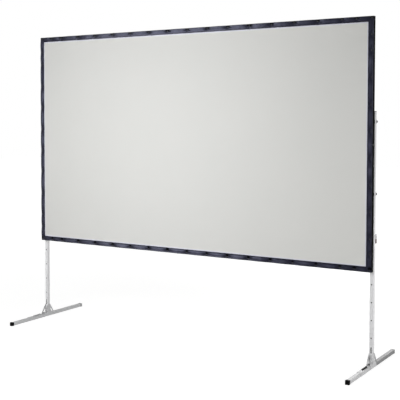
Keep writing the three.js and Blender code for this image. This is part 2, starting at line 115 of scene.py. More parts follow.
class Finish:
    """A node material round one Principled shader, with short calls for its nodes."""

    def __init__(self, name, base, roughness, metallic=0.0, specular=0.5):
        self.material = bpy.data.materials.new(name)
        self.material.use_nodes = True
        self.tree = self.material.node_tree
        self.shader = self.tree.nodes["Principled BSDF"]
        self.shader.inputs["Base Color"].default_value = (*base, 1)
        self.shader.inputs["Roughness"].default_value = roughness
        self.shader.inputs["Metallic"].default_value = metallic
        self.shader.inputs["Specular IOR Level"].default_value = specular
        self.relief = None

    def node(self, kind, settings=None, **inputs):
        made = self.tree.nodes.new(kind)
        for key, value in (settings or {}).items():
            setattr(made, key, value)
        for key, value in inputs.items():
            self.feed(made.inputs[key.replace("_", " ")], value)
        return made

    def feed(self, socket, value):
        if isinstance(value, bpy.types.NodeSocket):
            self.tree.links.new(value, socket)
        else:
            socket.default_value = value

    def math(self, operation, first, second=0.0):
        made = self.tree.nodes.new("ShaderNodeMath")
        made.operation = operation
        self.feed(made.inputs[0], first)
        self.feed(made.inputs[1], second)
        return made.outputs[0]

    def attribute(self, name):
        """A number that the mesh holds at each of its points."""
        return self.node("ShaderNodeAttribute", {"attribute_name": name}).outputs["Fac"]

    def noise(self, scale, detail=2.0, roughness=0.5, stretch=(1, 1, 1)):
        source = self.node("ShaderNodeTexCoord").outputs["Object"]
        vector = self.node("ShaderNodeMapping", Vector=source, Scale=stretch).outputs[0]
        made = self.node(
            "ShaderNodeTexNoise", Vector=vector, Scale=scale, Detail=detail, Roughness=roughness
        )
        return made.outputs["Fac"]

    def ranged(self, value, low, high, start=0.0, end=1.0):
        """Turns the span from start to end into the span from low to high."""
        made = self.node("ShaderNodeMapRange")
        for socket, number in zip(made.inputs[:5], (value, start, end, low, high)):
            self.feed(socket, number)
        return made.outputs[0]

    def colours(self, fac, dark, light):
        ramp = self.node("ShaderNodeValToRGB", Fac=fac)
        ramp.color_ramp.elements[0].color = (*dark, 1)
        ramp.color_ramp.elements[1].color = (*light, 1)
        return ramp.outputs["Color"]

    def mixed(self, fac, first, second):
        """A colour between two others, each of them a socket or three numbers."""
        made = self.node("ShaderNodeMix", {"data_type": "RGBA"})
        self.feed(made.inputs[0], fac)
        for socket, value in ((made.inputs[6], first), (made.inputs[7], second)):
            self.feed(socket, value if isinstance(value, bpy.types.NodeSocket) else (*value, 1))
        return made.outputs[2]

    def paint(self, colour):
        self.feed(self.shader.inputs["Base Color"], colour)

    def roughen(self, value):
        self.feed(self.shader.inputs["Roughness"], value)

    def tint_gloss(self, *colour):
        self.shader.inputs["Specular Tint"].default_value = (*colour, 1)

    def bump(self, height, distance, strength=1.0):
        """Adds a relief on top of the ones that the finish has."""
        made = self.node("ShaderNodeBump", Strength=strength, Distance=distance, Height=height)
        if self.relief is not None:
            self.feed(made.inputs["Normal"], self.relief)
        self.relief = made.outputs["Normal"]
        self.feed(self.shader.inputs["Normal"], self.relief)


def screen_vinyl():
    finish = Finish("screen_vinyl", (0.7, 0.7, 0.68), 0.65, specular=0.1)
    cloudy = finish.noise(2.5, detail=3)
    finish.paint(finish.colours(cloudy, (0.69, 0.69, 0.669), (0.715, 0.71, 0.69)))
    finish.roughen(finish.ranged(finish.noise(9, detail=4), 0.6, 0.7))
    finish.bump(finish.noise(1400, detail=3), 0.0002, 0.35)
    return finish.material


def weld_band():
    """The sheet where it is welded to the border: pressed flat, paler and glossier."""
    finish = Finish("weld_band", (0.66, 0.66, 0.74), 0.4)
    pressed = finish.noise(160, detail=2)
    finish.paint(finish.colours(pressed, (0.62, 0.62, 0.7), (0.7, 0.7, 0.78)))
    finish.roughen(finish.ranged(pressed, 0.34, 0.46))
    finish.bump(finish.noise(600, detail=2), 0.0003, 0.4)
    return finish.material


# The border's sewn rows: a stitch and its gap, the thread's share of that, and each row's place
STITCH_PITCH, STITCH_SHARE = 0.0045, 0.66
STITCH_ROWS = (0.0035, 0.0445)
THREAD_HALF_WIDTH = 0.00045


def stitches(finish):
    """1 on the thread of the two sewn rows of a border strip, and 0 elsewhere."""
    place = finish.node("ShaderNodeTexCoord").outputs["UV"]
    along, across, _ = finish.node("ShaderNodeSeparateXYZ", Vector=place).outputs
    repeat = finish.math("FRACT", finish.math("DIVIDE", along, STITCH_PITCH))
    dash = finish.math("LESS_THAN", repeat, STITCH_SHARE)
    threads = []
    for row in STITCH_ROWS:
        away = finish.math("ABSOLUTE", finish.math("SUBTRACT", across, row))
        threads.append(finish.math("LESS_THAN", away, THREAD_HALF_WIDTH))
    return finish.math("MULTIPLY", finish.math("MAXIMUM", *threads), dash)


def border_vinyl(name, specular):
    """Leathery black vinyl, with a painted sheen where it swells and painted black shade where a
    snap pulls it in.

    It reads the strip's UVs, which are metres along it and across it, and its two attributes.
    """
    finish = Finish(name, (0.008, 0.008, 0.014), 0.4, specular=specular)
    finish.tint_gloss(0.7, 0.73, 1)
    patches = finish.noise(30, detail=4, roughness=0.6)
    cloth = finish.colours(patches, (0.004, 0.004, 0.01), (0.008, 0.008, 0.018))
    # Painted shade by the snaps: the first attribute darkens the pockets, dimples and outer edge
    # toward black
    painted_shade_fac = finish.attribute("snap_painted_shade")
    # Painted sheen: the second attribute lightens the swellings and creases to a bluish grey
    painted_sheen = finish.attribute("swelling_and_painted_sheen")
    painted_sheen_colour = finish.mixed(painted_sheen, cloth, (0.05, 0.05, 0.078))
    shaded = finish.mixed(painted_shade_fac, painted_sheen_colour, (0.001, 0.001, 0.002))
    stitch = stitches(finish)
    finish.paint(finish.mixed(stitch, shaded, (0.035, 0.035, 0.045)))
    gloss = finish.ranged(finish.noise(70, detail=3), 0.17, 0.27)
    finish.roughen(finish.math("MAXIMUM", gloss, finish.math("MULTIPLY", painted_shade_fac, 0.95)))
    finish.bump(finish.noise(900, detail=4, roughness=0.65), 0.00012, 0.35)
    finish.bump(stitch, 0.0004, 0.8)
    return finish.material


def black_anodised():
    finish = Finish("frame_black", (0.006, 0.006, 0.007), 0.45, metallic=0.9, specular=0.2)
    finish.tint_gloss(0.1, 0.1, 0.12)
    rubbed = finish.ranged(finish.noise(11, detail=6, roughness=0.7), 0, 1, 0.62, 0.8)
    finish.paint(finish.colours(rubbed, (0.005, 0.005, 0.006), (0.03, 0.03, 0.034)))
    finish.roughen(finish.ranged(finish.noise(45, detail=4), 0.36, 0.55))
    finish.bump(finish.noise(1500, detail=2), 0.0001, 0.3)
    return finish.material


def mill_aluminium(name, dark, light, along, roughness=0.45):
    """Extruded tube: fine streaks along its length, stains and small scuffs."""
    finish = Finish(name, light, roughness, metallic=0.08, specular=0.35)
    stretch = tuple(0.03 if axis == along else 1 for axis in "xyz")
    streaks = finish.noise(130, detail=3, stretch=stretch)
    drawn = finish.colours(streaks, dark, light)
    scuffs = finish.ranged(finish.noise(55, detail=6, roughness=0.75), 0, 1, 0.58, 0.72)
    finish.paint(finish.mixed(scuffs, drawn, tuple(0.8 * v for v in dark)))
    stains = finish.noise(14, detail=5, roughness=0.65)
    finish.roughen(finish.ranged(stains, roughness - 0.08, roughness + 0.1))
    finish.bump(finish.noise(420, detail=2, stretch=stretch), 0.0001, 0.35)
    return finish.material


def plated_steel():
    finish = Finish("hardware_steel", (0.5, 0.5, 0.52), 0.35, metallic=1.0)
    dull = finish.noise(60, detail=4)
    finish.paint(finish.colours(dull, (0.4, 0.4, 0.42), (0.58, 0.58, 0.6)))
    finish.roughen(finish.ranged(dull, 0.3, 0.45))
    finish.bump(finish.noise(700, detail=2), 0.0001, 0.3)
    return finish.material


def moulded(name, dark, light, roughness, specular=0.3):
    """Moulded plastic with a fine grain."""
    finish = Finish(name, dark, roughness, specular=specular)
    finish.paint(finish.colours(finish.noise(40, detail=3), dark, light))
    finish.roughen(finish.ranged(finish.noise(90, detail=3), roughness - 0.06, roughness + 0.06))
    finish.bump(finish.noise(1300, detail=3), 0.0002, 0.4)
    return finish.material


# Darkest and lightest colour, the axis that a tube's streaks follow, and a roughness
ALUMINIUM = {
    "leg_aluminium": ((0.7, 0.7, 0.715), (0.8, 0.8, 0.81), "z"),
    # The feet's aluminium is darker than the legs': partly a duller finish, partly painted shade
    # low by the floor
    "foot_aluminium": ((0.52, 0.52, 0.53), (0.62, 0.62, 0.63), "y"),
    # Painted shade: a much darker copy of the foot's aluminium for the right foot's rear half, its
    # end cap and its bracket's rear strut
    "rear_foot_painted_shade": ((0.19, 0.19, 0.195), (0.26, 0.26, 0.265), "y", 0.5),
}
# Darkest and lightest colour, roughness, and a specular level
MOULDED = {
    # Painted shade: near black, for the walls inside the tubes and their holes
    "tube_inside_painted_shade": ((0.012, 0.012, 0.012), (0.03, 0.03, 0.03), 0.7, 0.1),
    "black_plastic": ((0.002, 0.002, 0.002), (0.004, 0.004, 0.004), 0.6, 0.03),
    "grey_plastic": ((0.14, 0.145, 0.15), (0.18, 0.185, 0.19), 0.5),
    "red_plastic": ((0.04, 0.004, 0.006), (0.07, 0.006, 0.009), 0.4),
    "rear_cap": ((0.36, 0.36, 0.37), (0.46, 0.46, 0.47), 0.5),
    "snap_black": ((0.003, 0.003, 0.004), (0.006, 0.006, 0.008), 0.3, 0.25),
}
finishes = {
    "screen_vinyl": screen_vinyl(),
    "weld_band": weld_band(),
    "border_vinyl": border_vinyl("border_vinyl", 0.2),
    # Painted shade: the border vinyl with almost no gloss, for the darkest pockets by the snaps
    "border_painted_shade": border_vinyl("border_painted_shade", 0.02),
    "frame_black": black_anodised(),
    "hardware_steel": plated_steel(),
    **{name: mill_aluminium(name, *values) for name, values in ALUMINIUM.items()},
    **{name: moulded(name, *values) for name, values in MOULDED.items()},
}

for part in frame["record"]["subparts"]:
    materials = nodes[part["node"]].data.materials
    materials.clear()
    materials.append(finishes[part["material_slot"]])


def repaint(name, finish, chosen):
    """Gives a CAD node's chosen faces a second finish. chosen takes a face's centre and normal."""
    mesh = nodes[name].data
    mesh.materials.append(finishes[finish])
    for face in mesh.polygons:
        if chosen(face.center, face.normal):
            face.material_index = len(mesh.materials) - 1


# How far inside a tube's outer faces its hidden ones lie at least, and how squarely a face
# looks along the tube before it counts as an end face
HIDDEN_DEPTH = 0.0003
END_FACE_NORMAL = 0.9


def paint_bore_shade(name, along):
    """Paints shade on the walls inside a tube and the walls of its holes, in a near black finish.
    along is the tube's axis.
    """
    low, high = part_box(name)
    across = [i for i in range(3) if i != along]

    def hidden(centre, normal):
        inside = all(low[i] + HIDDEN_DEPTH < centre[i] < high[i] - HIDDEN_DEPTH for i in across)
        return inside and abs(normal[along]) < END_FACE_NORMAL

    repaint(name, "tube_inside_painted_shade", hidden)


# The steel hub at a lock lever's upper end, and where the right bracket's rear strut starts, which
# gets painted shade
LOCK_HUB_HEIGHT = 0.02
REAR_STRUT_START, REAR_STRUT_FOOT = 0.03, 0.044


def is_rear_strut(centre, normal):
    return centre.y > REAR_STRUT_START and centre.z > REAR_STRUT_FOOT


def refine_finishes():
    """Second finishes, with painted shade inside the tubes, their holes and the right foot's rear
    parts, and the places where the photo shows a leg's parts in different greys.
    """
    for side, _ in LEG_SIDES:
        paint_bore_shade(f"leg_lower_{side}", 2)
        paint_bore_shade(f"leg_upper_{side}", 2)
        paint_bore_shade(f"foot_back_{side}", 1)
        lever = f"lock_lever_{side}"
        hub_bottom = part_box(lever)[1].z - LOCK_HUB_HEIGHT
        repaint(lever, "hardware_steel", lambda centre, normal: centre.z > hub_bottom)
    # Painted shade: the right bracket's rear strut, and below the right foot's rear half and end
    # cap, get the dark aluminium
    repaint("foot_bracket_right", "rear_foot_painted_shade", is_rear_strut)
    for name, finish in (
        ("foot_back_right", "rear_foot_painted_shade"),
        ("cap_back_right", "rear_foot_painted_shade"),
        ("cap_back_left", "rear_cap"),
        ("latch_lever_left", "rear_cap"),
    ):
        nodes[name].data.materials[0] = finishes[finish]


refine_finishes()

SMOOTH_ANGLE = math.radians(40)


def add_mesh(name, verts, faces, finish):
    mesh = bpy.data.meshes.new(name)
    mesh.from_pydata([tuple(v) for v in verts], [], [tuple(f) for f in faces])
    mesh.validate()
    mesh.polygons.foreach_set("use_smooth", [True] * len(mesh.polygons))
    mesh.update()
    mesh.set_sharp_from_angle(angle=SMOOTH_ANGLE)
    mesh.materials.append(finishes[finish])
    piece = bpy.data.objects.new(name, mesh)
    bpy.context.collection.objects.link(piece)
    return piece


def cloth_mesh(name, front, back, finish):
    """A thin closed cloth from two grids of points, the front one facing -Y."""
    rows, columns = front.shape[:2]
    count = rows * columns
    index = np.arange(count).reshape(rows, columns)
    corners = [index[:-1, :-1], index[1:, :-1], index[1:, 1:], index[:-1, 1:]]
    quads = np.stack(corners, -1).reshape(-1, 4)
    rim = np.concatenate([index[:-1, 0], index[-1, :-1], index[:0:-1, -1], index[0, :0:-1]])
    following = np.roll(rim, -1)
    edges = np.stack([following, rim, rim + count, following + count], -1)
    faces = np.concatenate([quads, quads[:, ::-1] + count, edges])
    verts = np.concatenate([front.reshape(-1, 3), back.reshape(-1, 3)])
    normal_y = np.cross(front[1, 0] - front[0, 0], front[0, 1] - front[0, 0])[1]
    if normal_y > 0:
        faces = faces[:, ::-1]
    return add_mesh(name, verts, faces, finish)


def lathe(profile, centre, sides):
    """Points and faces of a round solid, turned about an axis along -Y from rim to crown."""
    verts, faces = [], []
    for radius, depth in profile:
        for k in range(sides):
            angle = math.tau * k / sides
            verts.append((
                centre[0] + radius * math.cos(angle),
                centre[1] + depth,
                centre[2] + radius * math.sin(angle),
            ))
    for ring in range(len(profile) - 1):
        for k in range(sides):
            a, b = ring * sides + k, ring * sides + (k + 1) % sides
            faces.append((a, b, b + sides, a + sides))
    faces.append(tuple(range(sides))[::-1])
    faces.append(tuple((len(profile) - 1) * sides + k for k in range(sides)))
    return verts, faces


def joined(solids):
    """The points and faces of several solids as one list of each."""
    verts, faces = [], []
    for more_verts, more_faces in solids:
        faces += [tuple(i + len(verts) for i in face) for face in more_faces]
        verts += more_verts
    return verts, faces


# The cloth: a grey sheet with a black border strip along each side

# A border strip's start, its directions along and inward as x and z, its length, the places of
# its snaps along it, the seed of its folds, and the painted shade of the pocket beside each snap
Run = namedtuple("Run", "start along_axis across_axis length places seed pocket")
# A pocket's painted shade: how far it lies from its snap and how far it reaches, how dark it
# is, and how dark a painted shade trail it leaves
Pocket = namedtuple("Pocket", "along across reach_along reach_across darkness trail")

# Painted shade above each snap: with a trail along the top strip, and faint on the sides
TOP_POCKET = Pocket(0, -0.006, 0.026, 0.01, 1.5, 0.9)
BOTTOM_POCKET = Pocket(0, 0.016, 0.018, 0.014, 1.5, 0)
SIDE_POCKET = Pocket(0.01, 0, 0.03, 0.014, 0.4, 0)


def snap_places(even_count, start, end):
    """Snaps in both corners, two short bays from each corner, and even bays between."""
    short_bays = SNAP_FIRST_BAY + SNAP_SECOND_BAY
    even = np.linspace(start + short_bays, end - short_bays, even_count)
    return np.concatenate([[start, start + SNAP_FIRST_BAY], even, [end - SNAP_FIRST_BAY, end]])


def make_runs():
    width, left = 2 * half_width, -half_width
    height, bottom = screen_top - screen_bottom - 2 * border_width, screen_bottom + border_width
    snap_xs = snap_places(EVEN_SNAPS_ACROSS, SNAP_INSET - half_width, half_width - SNAP_INSET)
    snap_zs = snap_places(EVEN_SNAPS_UP, screen_bottom + SNAP_INSET, screen_top - SNAP_INSET)
    xs, zs = snap_xs + half_width, snap_zs - bottom
    return {
        "top": Run((left, screen_top), (1, 0), (0, -1), width, xs, 20, TOP_POCKET),
        "bottom": Run((left, screen_bottom), (1, 0), (0, 1), width, xs, 21, BOTTOM_POCKET),
        "left": Run((left, bottom), (0, 1), (1, 0), height, zs, 22, SIDE_POCKET),
        "right": Run((half_width, bottom), (0, 1), (-1, 0), height, zs, 23, SIDE_POCKET),
    }


border_runs = make_runs()


def hang_on_frame(piece):
    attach(piece, "left_side")
    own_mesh(piece)


WAVE_KNOTS = 512
WAVE_START = 100


def smooth_wave(values, seed, step):
    """A smooth random wave between -1 and 1 along one direction, with a knot at each step."""
    knots = np.random.default_rng(seed).uniform(-1, 1, WAVE_KNOTS)
    place = np.asarray(values) / step + WAVE_START
    whole = np.floor(place).astype(int)
    part = place - whole
    part = part * part * (3 - 2 * part)
    return knots[whole % WAVE_KNOTS] * (1 - part) + knots[(whole + 1) % WAVE_KNOTS] * part


def fading(distance, reach):
    """Nought at the border, one at a distance of reach, and dying away beyond it."""
    d = np.clip(distance, 0, None) / reach
    return d * np.exp(1 - d)


# A strip swells between snaps: how high, where across it the ridge can lie, and how broad that
# is. Its outer edge lifts: how high, and how far in.
PUFF, RIDGE_PLACES, CREST_REACH = 0.0046, (0.018, 0.027), 0.013
EDGE_LIFT, EDGE_LIFT_REACH = 0.0018, 0.018
# How unlike each other the bays' swellings, the pockets' painted shade and their trails are
PUFF_SPREAD = (0.75, 1.25)
POCKET_ALONG_SPREAD, POCKET_ACROSS_SPREAD, TRAIL_SPREAD = (0.7, 1.3), (0.8, 1.2), (0.3, 1.2)
# How far a snap presses the strip down: along it, inward and outward
DIMPLE_ALONG, DIMPLE_INWARD, DIMPLE_OUTWARD = 0.03, 0.013, 0.022
# A pocket's trail of painted shade: how far inward it bends and how soon, its breadth, its
# length, and the stretch beside the snap that it leaves free
TRAIL_DROP, TRAIL_BEND = 0.009, 0.04
TRAIL_HALF_WIDTH, TRAIL_LENGTH, TRAIL_START = 0.0045, 0.07, 0.01
# The creases that run out from a snap to either side, each with a painted highlight along it
CREASES_PER_SIDE = 2
CREASE_TURNS = (0.35, 1.3)
CREASE_LENGTHS = (0.02, 0.045)
CREASE_HEIGHTS = (0.0007, 0.0016)
CREASE_PAINTED_HIGHLIGHTS = (0.1, 0.5)
CREASE_HALF_WIDTH = 0.003
# The small wrinkles all over a strip: their height, and their size across one way and the other
WRINKLE, WRINKLE_LENGTH, WRINKLE_WIDTH = 0.0004, 0.017, 0.011
# The hem along each edge: its inset, height and breadth, and the painted shade at the outer edge
HEM, HEM_HEIGHT, HEM_HALF_WIDTH = 0.0035, 0.0005, 0.003
EDGE_SHADE_REACH = 0.005


def swelling_and_painted_sheen(along, across, run, luck):
    """How far a strip swells between its snaps, and the painted sheen on its swellings."""
    bays = run.places[1:] - run.places[:-1]
    middles = (run.places[1:] + run.places[:-1]) / 2
    puff = np.interp(along, middles, luck.uniform(*PUFF_SPREAD, len(middles)))
    ridge = np.interp(along, middles, luck.uniform(*RIDGE_PLACES, len(middles)))
    bay = np.clip(np.searchsorted(run.places, along) - 1, 0, len(middles) - 1)
    width = bays[bay]
    share = np.clip((along - run.places[bay]) / width, 0, 1)
    arch = np.sin(math.pi * share) * np.sqrt(width / width.max())
    crest = np.exp(-(((across - ridge) / CREST_REACH) ** 2))
    rise = PUFF * puff * (0.4 + 0.6 * arch) * (0.7 + 0.3 * crest)
    rise = rise + EDGE_LIFT * arch * np.clip(1 - across / EDGE_LIFT_REACH, 0, 1)
    painted_sheen = crest * arch**1.5 * np.clip(puff - 0.3, 0, 1)
    return rise, painted_sheen * (0.75 + 0.4 * smooth_wave(along, run.seed + 60, 0.03))


def snap_dimple(offset_a, offset_u):
    """How firmly a snap holds the strip down, from 0 to 1, by the offset from it."""
    reach_u = np.where(offset_u > 0, DIMPLE_INWARD, DIMPLE_OUTWARD)
    return np.exp(-((offset_a / DIMPLE_ALONG) ** 2) - (offset_u / reach_u) ** 2)


def pocket_shade(offset_a, offset_u, pocket, luck):
    """The painted shade of the pocket beside a snap, with the painted shade line that it trails
    along the strip.
    """
    reach_a = pocket.reach_along * luck.uniform(*POCKET_ALONG_SPREAD)
    reach_u = pocket.reach_across * luck.uniform(*POCKET_ACROSS_SPREAD)
    dark_a, dark_u = (offset_a - pocket.along) / reach_a, (offset_u - pocket.across) / reach_u
    shade = pocket.darkness * np.exp(-(dark_a**2) - dark_u**2)
    behind = np.clip(-offset_a, 0, None)
    trail_u = offset_u - pocket.across + TRAIL_DROP * (1 - np.exp(-behind / TRAIL_BEND))
    trail = np.exp(-((trail_u / TRAIL_HALF_WIDTH) ** 2) - behind / TRAIL_LENGTH)
    trail = trail * np.clip(behind / TRAIL_START, 0, 1)
    return np.maximum(shade, pocket.trail * luck.uniform(*TRAIL_SPREAD) * trail)


def snap_creases(offset_a, offset_u, luck):
    """Each crease that runs out from a snap: how high it stands, and how strong a painted
    highlight it carries.
    """
    for side in (-1, 1):
        for _ in range(CREASES_PER_SIDE):
            turn = side * luck.uniform(*CREASE_TURNS)
            length = luck.uniform(*CREASE_LENGTHS)
            out = offset_a * math.sin(turn) + offset_u * math.cos(turn)
            off = offset_a * math.cos(turn) - offset_u * math.sin(turn)
            reach = np.clip(out / length, 0, None)
            crease = np.exp(-((off / CREASE_HALF_WIDTH) ** 2)) * reach * np.exp(1 - reach * 1.6)
            height, painted_highlight = luck.uniform(*CREASE_HEIGHTS), luck.uniform(*CREASE_PAINTED_HIGHLIGHTS)
            yield height * crease, painted_highlight * crease


def puckers(along, across, run):
    """How far a border strip stands proud, its painted shade by the snaps and at its outer edge,
    and its painted sheen.
    """
    luck = np.random.default_rng(run.seed)
    rise, painted_sheen = swelling_and_painted_sheen(along, across, run, luck)
    dimple, creases, shade = (np.zeros_like(along) for _ in range(3))
    for place in run.places:
        offset_a, offset_u = along - place, across - SNAP_INSET
        dimple = np.maximum(dimple, snap_dimple(offset_a, offset_u))
        shade = np.maximum(shade, pocket_shade(offset_a, offset_u, run.pocket, luck))
        for height, painted_highlight in snap_creases(offset_a, offset_u, luck):
            creases = creases + height
            painted_sheen = painted_sheen + painted_highlight
    slanting = smooth_wave(along + across * 0.8, run.seed + 40, WRINKLE_LENGTH)
    wrinkle = slanting * smooth_wave(across, run.seed + 50, WRINKLE_WIDTH)
    rise = rise * (1 - dimple) + creases + WRINKLE * (1 + wrinkle) * (1 - dimple)
    hem_rows = (HEM, border_width - HEM)
    hems = [np.exp(-(((across - row) / HEM_HALF_WIDTH) ** 2)) for row in hem_rows]
    edge = np.exp(-((across / EDGE_SHADE_REACH) ** 2))
    # Painted shade: the pockets and trails, half of each dimple and half of the outer edge
    painted_shade = np.maximum(np.maximum(np.clip(shade, 0, 1), 0.5 * dimple), 0.5 * edge)
    return rise + HEM_HEIGHT * sum(hems), painted_shade, np.clip(painted_sheen * (1 - dimple), 0, 1)


def on_strip(run, along, across):
    """The x and z of places on a border strip."""
    return [
        run.start[i] + along * run.along_axis[i] + across * run.across_axis[i] for i in (0, 1)
    ]


STRIP_STEP = 0.0065
STRIP_ROWS = 15
# A face whose points all carry more painted shade than this gets the unglossy painted shade finish
PAINTED_SHADE_FACE_LIMIT = 0.55


def border_strip(side, run):
    """One side's border strip, from a corner of the screen along its outer edge."""
    along_steps = np.linspace(0, run.length, round(run.length / STRIP_STEP) + 1)
    rows = np.linspace(HEM, border_width - HEM, STRIP_ROWS)
    across_steps = np.concatenate([[0, HEM / 2], rows, [border_width - HEM / 2, border_width]])
    along, across = np.meshgrid(along_steps, across_steps, indexing="ij")
    rise, painted_shade, painted_sheen = puckers(along, across, run)
    x, z = on_strip(run, along, across)
    front = np.stack([x, border_front - rise, z], -1)
    back = np.stack([x, cloth_front - rise, z], -1)
    strip = cloth_mesh(f"border_strip_{side}", front, back, "border_vinyl")
    mesh = strip.data
    for label, values in (("snap_painted_shade", painted_shade), ("swelling_and_painted_sheen", painted_sheen)):
        attribute = mesh.attributes.new(label, "FLOAT", "POINT")
        attribute.data.foreach_set("value", np.tile(values.ravel(), 2).astype(np.float32))
    # The faces deepest in painted shade get the unglossy painted shade finish
    mesh.materials.append(finishes["border_painted_shade"])
    both_painted_shades = np.tile(painted_shade.ravel(), 2)
    for face in mesh.polygons:
        if both_painted_shades[list(face.vertices)].min() > PAINTED_SHADE_FACE_LIMIT:
            face.material_index = 1
    flat = np.stack([np.tile(along.ravel(), 2), np.tile(across.ravel(), 2)], -1)
    corners = np.zeros(len(mesh.loops), int)
    mesh.loops.foreach_get("vertex_index", corners)
    uvs = mesh.uv_layers.new(name="metres").data
    uvs.foreach_set("uv", flat[corners].astype(np.float32).ravel())
    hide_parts(f"border_{side}")
    hang_on_frame(strip)
    return strip


# A snap's cap from its rim to its crown: each ring's radius, and its y from the strip's front
SNAP_PROFILE = [
    (0.0070, 0.0004), (0.0073, -0.0002), (0.0072, -0.0007), (0.0066, -0.0010), (0.0059, -0.0009),
    (0.0055, -0.0011), (0.0050, -0.0015), (0.0040, -0.0019), (0.0026, -0.0022), (0.0010, -0.0023),
]
SNAP_SIDES = 20


def snap_caps(side, run):
    """The caps on one side's strip. The corners' snaps are on the top and bottom strips."""
    caps = []
    for along in run.places:
        if 0 < along < run.length:
            x, z = on_strip(run, along, SNAP_INSET)
            caps.append(lathe(SNAP_PROFILE, (x, border_front, z), SNAP_SIDES))
    piece = add_mesh(f"snap_caps_{side}", *joined(caps), "snap_black")
    hang_on_frame(piece)
    return piece


def make_borders():
    for side, run in border_runs.items():
        strip = border_strip(side, run)
        caps = snap_caps(side, run)


# The sheet's grid is finer up to this distance from its edges
EDGE_GRID_REACH, EDGE_GRID_LINES = 0.42, 34
GRID_STEP = 0.022
WELD_WIDTH = 0.009
# The border's relief carries into the sheet: its share, how soon it dies away, how far it
# stays clear of the corners, and how far under the border it still reaches
CARRIED_SHARE, CARRIED_REACH = 0.92, 0.05
CORNER_CLEARANCE = 0.03
UNDER_BORDER = 0.001
# The tension lines at the snaps
TENSION_HEIGHT, TENSION_REACH = 0.0009, 0.035
# The slanting folds at the corners: height, reach from the border, pitch, and reach from the
# corner, then how steep they are and how much and how often they bend, and each corner's seed
FOLD_HEIGHT, FOLD_REACH, FOLD_PITCH, FOLD_LENGTH = 0.0011, 0.03, 0.085, 0.42
FOLD_SLANT, FOLD_BEND, FOLD_BEND_STEP = 0.35, 1.4, 0.12
CORNER_SEEDS = (
    ("left", "bottom", 5), ("left", "top", 6), ("right", "bottom", 7), ("right", "top", 8),
)


def grid_lines(low, high, inset):
    """Lines across the sheet: under the border, along the weld band, near it and between."""
    edge_lines = np.linspace(0, inset, 4)[:-1]
    band = inset + np.array([0, WELD_WIDTH / 2, WELD_WIDTH])
    near = np.linspace(inset + WELD_WIDTH, EDGE_GRID_REACH, EDGE_GRID_LINES)[1:]
    side = np.concatenate([edge_lines, band, near])
    steps = round((high - low - 2 * EDGE_GRID_REACH) / GRID_STEP)
    middle = np.linspace(low + EDGE_GRID_REACH, high - EDGE_GRID_REACH, steps + 1)[1:-1]
    return np.concatenate([low + side, middle, (high - side)[::-1]])


def inside_border(x, z):
    """How far places lie inside each side's border strip."""
    return {
        "left": x + half_width - border_width,
        "right": half_width - border_width - x,
        "bottom": z - screen_bottom - border_width,
        "top": screen_top - border_width - z,
    }


def side_ripples(rise, x, z, inside):
    """Adds the border's relief and the tension lines at its snaps to the sheet's rise."""
    for side, run in border_runs.items():
        distance = inside[side]
        ends = ("bottom", "top") if side in ("left", "right") else ("left", "right")
        from_ends = np.minimum(inside[ends[0]], inside[ends[1]])
        along = (x - run.start[0]) * run.along_axis[0] + (z - run.start[1]) * run.along_axis[1]
        hem_rise, _, _ = puckers(along, np.full_like(along, border_width), run)
        carried = np.exp(-np.clip(distance, 0, None) / CARRIED_REACH)
        carried = np.where(distance < -UNDER_BORDER, 0, carried)
        clear = np.clip(from_ends / CORNER_CLEARANCE, 0, 1)
        rise = np.maximum(rise, CARRIED_SHARE * hem_rise * carried * clear)
        bay = run.places[3] - run.places[2]
        phase = (along - run.places[2]) / bay + 0.25 * smooth_wave(along, run.seed, 0.3)
        height = TENSION_HEIGHT * (1 + 0.6 * smooth_wave(along, run.seed + 10, 0.5))
        crest = 0.5 + 0.5 * np.cos(math.tau * phase)
        rise = rise + height * crest * fading(distance, TENSION_REACH)
    return rise


def corner_ripples(rise, inside):
    """Adds the slanting folds at the sheet's corners to its rise."""
    for across_side, up_side, seed in CORNER_SEEDS:
        horizontal, vertical = inside[across_side], inside[up_side]
        reach = np.hypot(np.clip(horizontal, 0, None), np.clip(vertical, 0, None))
        slant = horizontal * FOLD_SLANT + vertical
        bend = FOLD_BEND * smooth_wave(horizontal, seed, FOLD_BEND_STEP)
        wave = np.sin(math.tau * slant / FOLD_PITCH + bend)
        edge = fading(np.minimum(horizontal, vertical), FOLD_REACH)
        rise = rise + FOLD_HEIGHT * (1 + wave) * edge * np.exp(-reach / FOLD_LENGTH)
    return rise


def make_sheet():
    xs = grid_lines(sheet_low.x, sheet_high.x, border_width - (half_width - sheet_high.x))
    zs = grid_lines(sheet_low.z, sheet_high.z, border_width - (screen_top - sheet_high.z))
    x, z = np.meshgrid(xs, zs, indexing="ij")
    inside = inside_border(x, z)
    rise = corner_ripples(side_ripples(np.zeros_like(x), x, z, inside), inside)
    front = np.stack([x, cloth_front - rise, z], -1)
    back = np.stack([x, sheet_high.y - rise, z], -1)
    sheet = cloth_mesh("projection_sheet", front, back, "screen_vinyl")
    sheet.data.materials.append(finishes["weld_band"])
    for face in sheet.data.polygons:
        inward = min(inside_border(face.center.x, face.center.z).values())
        if inward < WELD_WIDTH and face.normal.y < 0:
            face.material_index = 1
    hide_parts("screen_sheet")
    hang_on_frame(sheet)


make_sheet()
make_borders()

# A rivet's head from its rim to its crown: each ring's radius, and its depth in the surface
RIVET_PROFILE = [
    (0.0030, 0.0003), (0.0034, -0.0001), (0.0033, -0.0006), (0.0028, -0.0011), (0.0018, -0.0015),
    (0.0007, -0.0016),
]
RIVET_SIDES = 14
# How far from a rail length's end its two rivets lie
RAIL_RIVET_REACHES = (0.026, 0.05)
# A leg's small heads: y and z, and the lower one's size
LEG_HEAD_Y, LEG_HEAD_ZS = -0.010, (1.236, 1.269, 1.299)
LOWER_HEAD_PLACE, LOWER_HEAD_SIZE = (0.004, 1.009), 1.4
